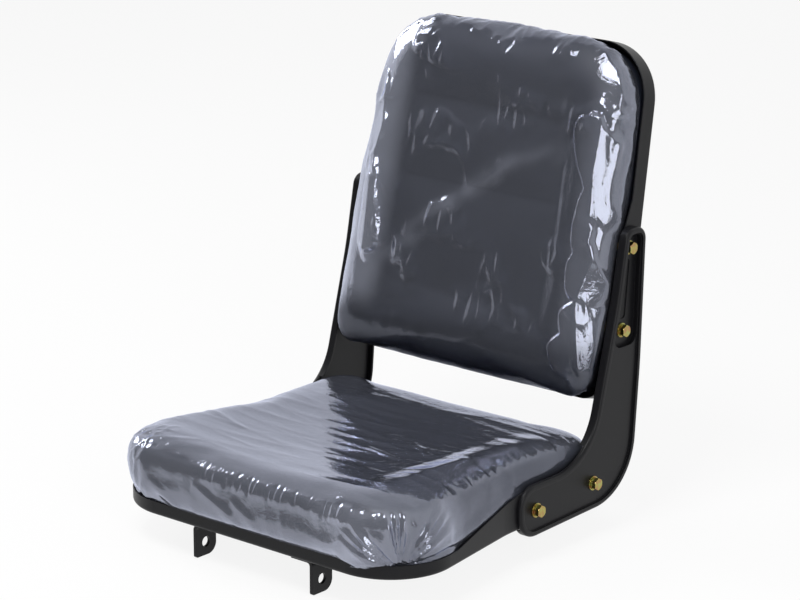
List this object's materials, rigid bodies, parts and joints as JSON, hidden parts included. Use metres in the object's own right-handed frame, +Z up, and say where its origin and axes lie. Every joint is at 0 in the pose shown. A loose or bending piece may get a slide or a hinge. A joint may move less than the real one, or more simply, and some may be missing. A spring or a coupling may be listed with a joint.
{
  "type": "tractor seat",
  "caption": "Padded tractor seat with a reclined back: two steel pans with vinyl cushions, joined by bolted pressed arms, with hinge lugs under the front edge.",
  "frame": {"origin": "middle of the hinge-pin axis, between the two lugs under the front edge of the seat", "axes": "+X to the right of the seat seen from the front, along the hinge pin; +Y backwards; +Z up"},
  "size_m": [0.4558, 0.5248, 0.5623],
  "materials": {
    "black_paint": "semi-gloss black paint on pressed steel",
    "yellow_zinc": "yellow passivated zinc plating",
    "slate_vinyl": "slate blue-grey grained vinyl over foam",
    "plywood": "plain birch plywood",
    "clear_film": "clear creased polyethylene film"
  },
  "bodies": {
    "root": {"arm_bolts_left": "yellow_zinc", "arm_bolts_right": "yellow_zinc", "arm_left": "black_paint", "arm_nuts_left": "yellow_zinc", "arm_nuts_right": "yellow_zinc", "arm_right": "black_paint", "arm_spring_washers_left": "yellow_zinc", "arm_spring_washers_right": "yellow_zinc", "arm_washers_left": "yellow_zinc", "arm_washers_right": "yellow_zinc", "back_board": "plywood", "back_cushion": "slate_vinyl", "back_pan": "black_paint", "back_screw_washers": "yellow_zinc", "back_screws": "yellow_zinc", "back_tee_nuts": "yellow_zinc", "hinge_lug_left": "black_paint", "hinge_lug_right": "black_paint", "seat_board": "plywood", "seat_cushion": "slate_vinyl", "seat_pan": "black_paint", "seat_screw_washers": "yellow_zinc", "seat_screws": "yellow_zinc", "seat_tee_nuts": "yellow_zinc"}
  },
  "joints": []
}
